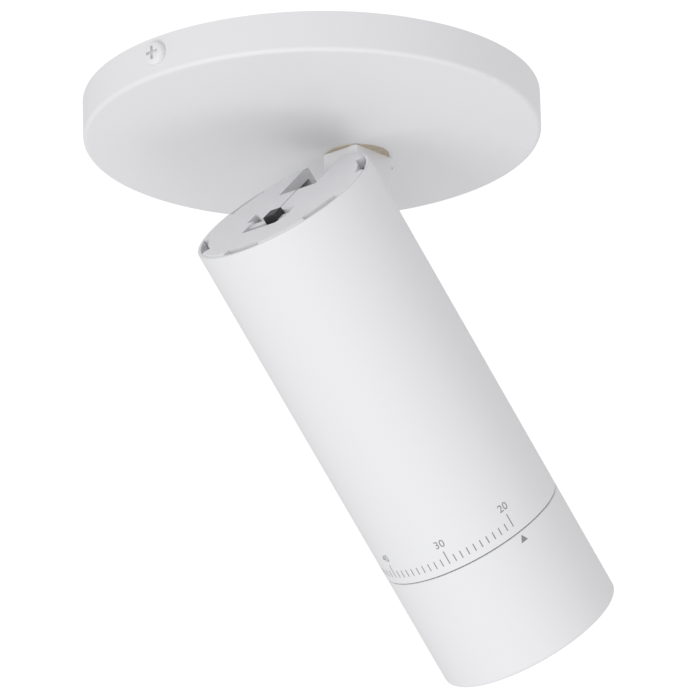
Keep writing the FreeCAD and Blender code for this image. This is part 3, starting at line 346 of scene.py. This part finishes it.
class SpotlightStage(bpy.types.PropertyGroup):
    """Light, floor and camera."""
    key_power: bpy.props.FloatProperty(
        name="Key power", description="Power of the key light", default=9.0, unit="POWER")
    fill_power: bpy.props.FloatProperty(
        name="Fill power", description="Power of the fill light", default=4.0, unit="POWER")
    key_place: bpy.props.FloatVectorProperty(
        name="Key place", description="Place of the key light", default=(-1.5, -0.1, -0.9),
        subtype="TRANSLATION", unit="LENGTH")
    key_size: bpy.props.FloatProperty(
        name="Key size", description="Side of the key light", default=0.9, unit="LENGTH")
    fill_place: bpy.props.FloatVectorProperty(
        name="Fill place", description="Place of the fill light", default=(0.1, -0.9, -1.6),
        subtype="TRANSLATION", unit="LENGTH")
    fill_size: bpy.props.FloatProperty(
        name="Fill size", description="Side of the fill light", default=0.8, unit="LENGTH")
    surround: bpy.props.FloatProperty(
        name="Surround", description="Brightness of the studio's walls on the object", default=0.72)
    backdrop: bpy.props.FloatProperty(
        name="Backdrop", description="Brightness of the backdrop as the camera sees it", default=1.05)
    floor_drop: bpy.props.FloatProperty(
        name="Floor drop", description="How far the floor is under the ceiling", default=1.9, unit="LENGTH")
    floor_half: bpy.props.FloatProperty(
        name="Floor half width", description="From the floor's middle to its edge", default=6.0,
        unit="LENGTH")
    camera_place: bpy.props.FloatVectorProperty(
        name="Camera", description="Place of the camera", default=(-1.25595, -1.09394, -0.67395),
        subtype="TRANSLATION", unit="LENGTH", precision=5)
    camera_focal: bpy.props.FloatProperty(
        name="Focal length", description="Focal length in millimetres on a 36 mm sensor", default=332.333)
    camera_azimuth: bpy.props.FloatProperty(
        name="Azimuth", description="Heading of the view from +X", default=math.radians(40.748),
        subtype="ANGLE")
    camera_rise: bpy.props.FloatProperty(
        name="Rise", description="How far the view points above the horizon",
        default=math.radians(19.804), subtype="ANGLE")
    camera_roll: bpy.props.FloatProperty(
        name="Roll", description="Turn of the camera about its view", default=math.radians(1.439),
        subtype="ANGLE")


# ---- shapes laid on the head

def head_frame():
    """The rear rim's centre, the head's axis, the side that faces up from it, and the hinge line."""
    centre = Vector(ZOOM_JOINT["pos_m"])
    axis = Vector(ZOOM_JOINT["axis"]).normalized()
    across = -Vector(TILT_JOINT["axis"]).normalized()
    raised = across.cross(-axis).normalized()
    return np.array(centre), np.array(axis), np.array(raised), np.array(across)


def wrapped(angle, depth, radius):
    """Points on the head: centre + depth * axis + radius * (sin(angle) * raised - cos(angle) * across)."""
    centre, axis, raised, across = head_frame()
    return (centre + depth[..., None] * axis
            + radius * (np.sin(angle)[..., None] * raised - np.cos(angle)[..., None] * across))


def mesh_piece(name, points, faces, material, body):
    """A mesh object at the origin that rides on a body."""
    mesh = bpy.data.meshes.new(name)
    mesh.from_pydata([tuple(p) for p in points], [], [tuple(f) for f in faces])
    mesh.materials.append(material)
    piece = bpy.data.objects.new(name, mesh)
    bpy.context.scene.collection.objects.link(piece)
    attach(piece, body)


def grid_faces(rows, columns, offset=0):
    """Quads of a grid of rows x columns points, wound so that they face outwards on the head."""
    row, column = np.meshgrid(np.arange(rows - 1), np.arange(columns - 1), indexing="ij")
    first = (row * columns + column).ravel() + offset
    return np.stack([first, first + 1, first + columns + 1, first + columns], axis=1)


def tick_grid(angle, end, length, width, radius):
    """A tick: a 2 x 3 grid over (depth from end back by length) x (angle +- width / 2 / radius)."""
    half = width / 2 / radius
    depth, turn = np.meshgrid([end, end - length], np.linspace(-half, half, 3), indexing="ij")
    return wrapped(angle + turn, depth, radius).reshape(-1, 3)


def number_mesh(text, height):
    """Flat text as a triangulated mesh of this height, centred: points (x along it, y up) and faces."""
    curve = bpy.data.curves.new("number", "FONT")
    curve.body = text
    curve.align_x = "CENTER"
    curve.space_character = 1.02
    letters = bpy.data.objects.new("number", curve)
    bpy.context.scene.collection.objects.link(letters)
    bpy.context.view_layer.update()
    mesh = bpy.data.meshes.new_from_object(letters)
    mesh.calc_loop_triangles()
    points = np.zeros(len(mesh.vertices) * 3)
    mesh.vertices.foreach_get("co", points)
    points = points.reshape(-1, 3)[:, :2]
    corners = np.zeros(len(mesh.loop_triangles) * 3, dtype=np.int32)
    mesh.loop_triangles.foreach_get("vertices", corners)
    bpy.data.objects.remove(letters)
    low, high = points.min(0), points.max(0)
    points = (points - [0.0, (low[1] + high[1]) / 2]) * height / (high[1] - low[1])
    return points, corners.reshape(-1, 3)


# ---- operators

class SpotlightOperator(bpy.types.Operator):
    """Shared by the operators that dress the spotlight."""
    bl_options = {"REGISTER", "UNDO"}


class OBJECT_OT_spotlight_canopy(SpotlightOperator):
    """Finish the canopy, its crossbar and its screws"""
    bl_idname = "object.spotlight_canopy"
    bl_label = "Canopy"

    def execute(self, context):
        look = context.scene.spotlight_finish
        coat = powder_coat("white_powder_coat_steel", look.coat_colour, look)
        dress(["canopy"], coat)
        dress(["canopy_screws"], powder_coat("white_painted_screw", look.coat_colour, look))
        zinc = zinc_plate("zinc_plated_steel", "C9CBCE", "A9ACB0")
        dress(["mounting_bracket"], zinc)
        dress(["ground_screw"], zinc_plate("green_dyed_steel", "2E7A46", "256638"))
        dress(["pan_stop_pin"], zinc_plate("steel_stop_rivet", "BFC1C3", "A0A3A6"))
        return {"FINISHED"}


class OBJECT_OT_spotlight_arm(SpotlightOperator):
    """Finish the swivel arm and what it turns on"""
    bl_idname = "object.spotlight_arm"
    bl_label = "Swivel arm"

    def execute(self, context):
        look = context.scene.spotlight_finish
        dress(["swivel_arm"], powder_coat("white_powder_coat_block", look.coat_colour, look))
        dress(["swivel_washer"], vulcanised_fibre("tan_vulcanised_fibre", "C4B9A8", "B0A48F"))
        dress(["swivel_stem"], threaded_steel("threaded_steel_tube", "C9C8C0", 1.0))
        dress(["stem_nut", "pan_stop_washer"], zinc_plate("zinc_plated_nut", "C9C8C0", "AAA9A2"))
        dress(["stem_wave_washer"], zinc_plate("tempered_spring_steel", "8F9194", "75777A", 0.28))
        dress(["tilt_friction_washers"], moulded_plastic("natural_nylon", "E4E1D6", 0.45))
        return {"FINISHED"}


class OBJECT_OT_spotlight_head(SpotlightOperator):
    """Finish the tube, the rear cap, the zoom ring and the tilt hinge"""
    bl_idname = "object.spotlight_head"
    bl_label = "Head"

    def execute(self, context):
        look = context.scene.spotlight_finish
        coat = powder_coat("white_powder_coat_aluminium", look.coat_colour, look)
        dress(["head_housing", "zoom_ring"], coat)
        dress(["rear_cap"], moulded_plastic("white_moulded_polycarbonate", look.cap_colour, 0.5))
        zinc = zinc_plate("zinc_plated_hinge", "C6C8CB", "A8ABAF")
        dress(["tilt_yoke", "yoke_screws", "hinge_nut", "hinge_bolt"], zinc)
        dress(["hinge_spring_washer"], zinc_plate("hinge_spring_steel", "8F9194", "75777A", 0.28))
        return {"FINISHED"}


class OBJECT_OT_spotlight_switch(SpotlightOperator):
    """Finish the colour temperature switch"""
    bl_idname = "object.spotlight_switch"
    bl_label = "Switch"

    def execute(self, context):
        dress(["switch_knob"], moulded_plastic("black_moulded_knob", "2A2A2C", 0.42, 0.3, 0.008))
        dress(["switch_body"], moulded_plastic("black_moulded_switch", "1D1D1F", 0.5))
        dress(["switch_board"], circuit_board("switch_circuit_board", "2B6B40", "255E38"))
        dress(["switch_board_screws"], zinc_plate("switch_board_screw_zinc", "C4C6C9", "A6A9AD"))
        return {"FINISHED"}


class OBJECT_OT_spotlight_driver(SpotlightOperator):
    """Finish the driver inside the head"""
    bl_idname = "object.spotlight_driver"
    bl_label = "Driver"

    def execute(self, context):
        dress(["driver_tray"], moulded_plastic("ivory_moulded_nylon", "D9D8D0", 0.5))
        dress(["driver_tray_screws"], zinc_plate("driver_tray_screw_zinc", "C4C6C9", "A6A9AD"))
        dress(["driver_board"], circuit_board("driver_circuit_board", "2B6B40", "255E38"))
        dress(["driver_transformer"], wound_tape("amber_polyester_tape", "D8A83A", "B98A28"))
        dress(["driver_capacitors"], moulded_plastic("navy_shrink_sleeve", "20283C", 0.3, 1.2, 0.01))
        dress(["driver_chips"], moulded_plastic("black_moulded_epoxy", "202022", 0.6))
        dress(["driver_connector"], moulded_plastic("natural_moulded_connector", "E2E1D8", 0.4))
        return {"FINISHED"}


class OBJECT_OT_spotlight_light_source(SpotlightOperator):
    """Finish the heat sink and the light source"""
    bl_idname = "object.spotlight_light_source"
    bl_label = "Light source"

    def execute(self, context):
        dress(["heat_sink"], cast_aluminium("die_cast_aluminium", "CFD0D2", "B4B6B9"))
        dress(["barrel_screws", "led_holder_screws"], zinc_plate("small_screw_zinc", "C4C6C9", "A6A9AD"))
        dress(["thermal_pad"], nitrile_rubber("grey_silicone_pad", "9DA1A6"))
        dress(["led_board"], moulded_plastic("white_solder_resist", "F0F0EC", 0.35))
        dress(["led_phosphor"], phosphor_gel("phosphor_silicone", "F2C83E", "DDAE2C"))
        dress(["led_holder"], moulded_plastic("white_moulded_holder", "ECECEA", 0.4))
        return {"FINISHED"}


class OBJECT_OT_spotlight_optics(SpotlightOperator):
    """Finish the barrel, the lens carriage, the lens and the front glass"""
    bl_idname = "object.spotlight_optics"
    bl_label = "Optics"

    def execute(self, context):
        dress(["lens_barrel"], anodised_turned("black_anodised_barrel", "1C1C1E"))
        dress(["zoom_friction_ring"], nitrile_rubber("black_nitrile_ring", "1A1A1B"))
        dress(["barrel_snap_ring"], zinc_plate("phosphated_spring_steel", "7E8083", "66686B", 0.35))
        dress(["lens_carriage", "lens_retainer"], moulded_plastic("black_moulded_carriage", "1E1E20", 0.55))
        dress(["guide_pins"], zinc_plate("ground_steel_pin", "C4C6C9", "B4B6B9", 0.2))
        dress(["zoom_lens"], clear_glass("pressed_glass_lens", "F7FAFA", 0.02))
        dress(["glass_gasket"], nitrile_rubber("white_silicone_gasket", "DEDEDC"))
        dress(["front_glass"], clear_glass("clear_float_glass", "F9FCFB", 0.0))
        dress(["front_bezel"], anodised_turned("black_anodised_bezel", "1C1C1E"))
        return {"FINISHED"}


# ---- the printed scale

def number_angle(sizes, number):
    """Place of a number's tick round the head."""
    return sizes.first_angle - (number - sizes.first_number) * sizes.step_angle


def add_ticks(sizes, radius, ink):
    """One tick for each whole number, longer where a number is printed."""
    points, faces, start = [], [], 0
    for number in range(sizes.first_number, sizes.last_number + 1):
        angle = number_angle(sizes, number)
        length = sizes.long_tick if number % NUMBER_STEP == 0 else sizes.short_tick
        points.append(tick_grid(angle, sizes.tick_end, length, sizes.tick_width, radius))
        faces.append(grid_faces(2, 3, start))
        start += len(points[-1])
    mesh_piece("scale_ticks", np.concatenate(points), np.concatenate(faces), ink, "head")


def add_numbers(sizes, radius, ink):
    """The printed numbers, bent round the tube behind their ticks."""
    points, faces, start = [], [], 0
    for number in range(sizes.first_number, sizes.last_number + 1, NUMBER_STEP):
        flat, corners = number_mesh(str(number), sizes.number_height)
        angle = number_angle(sizes, number) + flat[:, 0] / radius
        points.append(wrapped(angle, sizes.number_depth - flat[:, 1], radius))
        faces.append(corners + start)
        start += len(flat)
    mesh_piece("scale_numbers", np.concatenate(points), np.concatenate(faces), ink, "head")


def add_pointer(sizes, radius, ink):
    """The triangle on the ring: a fan from its tip to points along its base."""
    count = sizes.pointer_pieces
    base = np.linspace(-0.5, 0.5, count + 1) * sizes.pointer_width / radius
    turn = np.concatenate([[0.0], base])
    depth = np.concatenate([[0.0], np.full(count + 1, sizes.pointer_length)]) + sizes.pointer_depth
    step = np.arange(count)
    fan = np.stack([np.zeros(count, int), step + 1, step + 2], axis=1)
    mesh_piece("pointer_mark", wrapped(sizes.pointer_angle + turn, depth, radius), fan, ink, "focus_ring")


class OBJECT_OT_spotlight_scale(SpotlightOperator):
    """Print the zoom scale on the tube and the pointer on the ring"""
    bl_idname = "object.spotlight_scale"
    bl_label = "Printed scale"

    def execute(self, context):
        sizes = context.scene.spotlight_scale
        if sizes.last_number <= sizes.first_number:
            raise ValueError("the scale needs two numbers or more")
        ink = printed_ink("grey_pad_printed_ink", context.scene.spotlight_finish.ink_colour)
        low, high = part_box("head_housing")
        radius = (high.y - low.y) / 2 + sizes.ink_thickness
        add_ticks(sizes, radius, ink)
        add_numbers(sizes, radius, ink)
        add_pointer(sizes, radius, ink)
        return {"FINISHED"}


# ---- the stage

def soft_box(name, place, target, size, power):
    """A square area light that points at the object."""
    lamp = bpy.data.lights.new(name, "AREA")
    lamp.shape = "SQUARE"
    lamp.size = size
    lamp.energy = power
    light = bpy.data.objects.new(name, lamp)
    light.location = place
    light.rotation_euler = (Vector(target) - Vector(place)).to_track_quat("-Z", "Y").to_euler()
    bpy.context.scene.collection.objects.link(light)


def make_floor(scene, sizes):
    """A wide sheet of pale paper under the spotlight."""
    half, drop = sizes.floor_half, sizes.floor_drop
    corners = [(x * half, y * half, -drop) for x, y in ((-1, -1), (1, -1), (1, 1), (-1, 1))]
    mesh = bpy.data.meshes.new("studio_floor")
    mesh.from_pydata(corners, [], [(0, 1, 2, 3)])
    mesh.materials.append(new_material("matt_studio_paper", "F4F4F4", 0.9)[0])
    floor = bpy.data.objects.new("studio_floor", mesh)
    scene.collection.objects.link(floor)


def make_walls(scene, sizes):
    """White walls: one brightness on the object, another where the camera sees them."""
    world = bpy.data.worlds.new("studio_walls")
    scene.world = world
    world.use_nodes = True
    tree = world.node_tree
    tree.nodes.clear()
    white = linear("FFFFFF")
    path = add_node(tree, "ShaderNodeLightPath")
    walls = add_node(tree, "ShaderNodeBackground", values={"Color": white, "Strength": sizes.surround})
    seen = add_node(tree, "ShaderNodeBackground", values={"Color": white, "Strength": sizes.backdrop})
    mix = add_node(tree, "ShaderNodeMixShader", links={"Fac": path.outputs["Is Camera Ray"]})
    tree.links.new(walls.outputs[0], mix.inputs[1])
    tree.links.new(seen.outputs[0], mix.inputs[2])
    add_node(tree, "ShaderNodeOutputWorld", links={"Surface": mix.outputs[0]})


def make_camera(scene, sizes):
    """The camera at the photo's place, heading, rise and roll."""
    camera = bpy.data.objects.new("camera", bpy.data.cameras.new("camera"))
    camera.data.sensor_width = SENSOR_WIDTH
    camera.data.lens = sizes.camera_focal
    camera.data.clip_start = 0.05
    camera.data.clip_end = 50.0
    camera.location = sizes.camera_place
    aim = Vector((math.cos(sizes.camera_azimuth) * math.cos(sizes.camera_rise),
                  math.sin(sizes.camera_azimuth) * math.cos(sizes.camera_rise),
                  math.sin(sizes.camera_rise)))
    turn = Matrix.Rotation(sizes.camera_roll, 3, aim) @ aim.to_track_quat("-Z", "Y").to_matrix()
    camera.rotation_euler = turn.to_euler()
    scene.collection.objects.link(camera)
    scene.camera = camera


class OBJECT_OT_spotlight_stage(SpotlightOperator):
    """Make the floor, the studio light and the camera"""
    bl_idname = "object.spotlight_stage"
    bl_label = "Stage"

    def execute(self, context):
        sizes = context.scene.spotlight_stage
        middle = (cad_low + cad_high) / 2
        make_floor(context.scene, sizes)
        make_walls(context.scene, sizes)
        soft_box("key_soft_box", sizes.key_place, middle, sizes.key_size, sizes.key_power)
        soft_box("fill_soft_box", sizes.fill_place, middle, sizes.fill_size, sizes.fill_power)
        make_camera(context.scene, sizes)
        context.scene.view_settings.view_transform = "Standard"
        return {"FINISHED"}


# ---- the panel and what is registered

class VIEW3D_PT_spotlight(bpy.types.Panel):
    """The spotlight's operators and sizes"""
    bl_label = "Ceiling spotlight"
    bl_idname = "VIEW3D_PT_spotlight"
    bl_space_type = "VIEW_3D"
    bl_region_type = "UI"
    bl_category = "Spotlight"

    def draw(self, context):
        for operator in OPERATORS:
            self.layout.operator(operator.bl_idname)
        for group in GROUPS:
            settings = getattr(context.scene, group)
            column = self.layout.column(align=True)
            for name in settings.__annotations__:
                column.prop(settings, name)


OPERATORS = (
    OBJECT_OT_spotlight_canopy,
    OBJECT_OT_spotlight_arm,
    OBJECT_OT_spotlight_head,
    OBJECT_OT_spotlight_switch,
    OBJECT_OT_spotlight_driver,
    OBJECT_OT_spotlight_light_source,
    OBJECT_OT_spotlight_optics,
    OBJECT_OT_spotlight_scale,
    OBJECT_OT_spotlight_stage,
)
GROUPS = {
    "spotlight_finish": SpotlightFinish,
    "spotlight_scale": SpotlightScale,
    "spotlight_stage": SpotlightStage,
}
CLASSES = (*GROUPS.values(), *OPERATORS, VIEW3D_PT_spotlight)


def register():
    """Adds the classes and the scene's settings."""
    for each in CLASSES:
        bpy.utils.register_class(each)
    for name, group in GROUPS.items():
        setattr(bpy.types.Scene, name, bpy.props.PointerProperty(type=group))


def unregister():
    """Takes them away again."""
    for name in GROUPS:
        delattr(bpy.types.Scene, name)
    for each in reversed(CLASSES):
        bpy.utils.unregister_class(each)


def main():
    register()
    bpy.ops.object.spotlight_canopy()
    bpy.ops.object.spotlight_arm()
    bpy.ops.object.spotlight_head()
    bpy.ops.object.spotlight_switch()
    bpy.ops.object.spotlight_driver()
    bpy.ops.object.spotlight_light_source()
    bpy.ops.object.spotlight_optics()
    bpy.ops.object.spotlight_scale()
    bpy.ops.object.spotlight_stage()


if __name__ == "__main__":
    main()
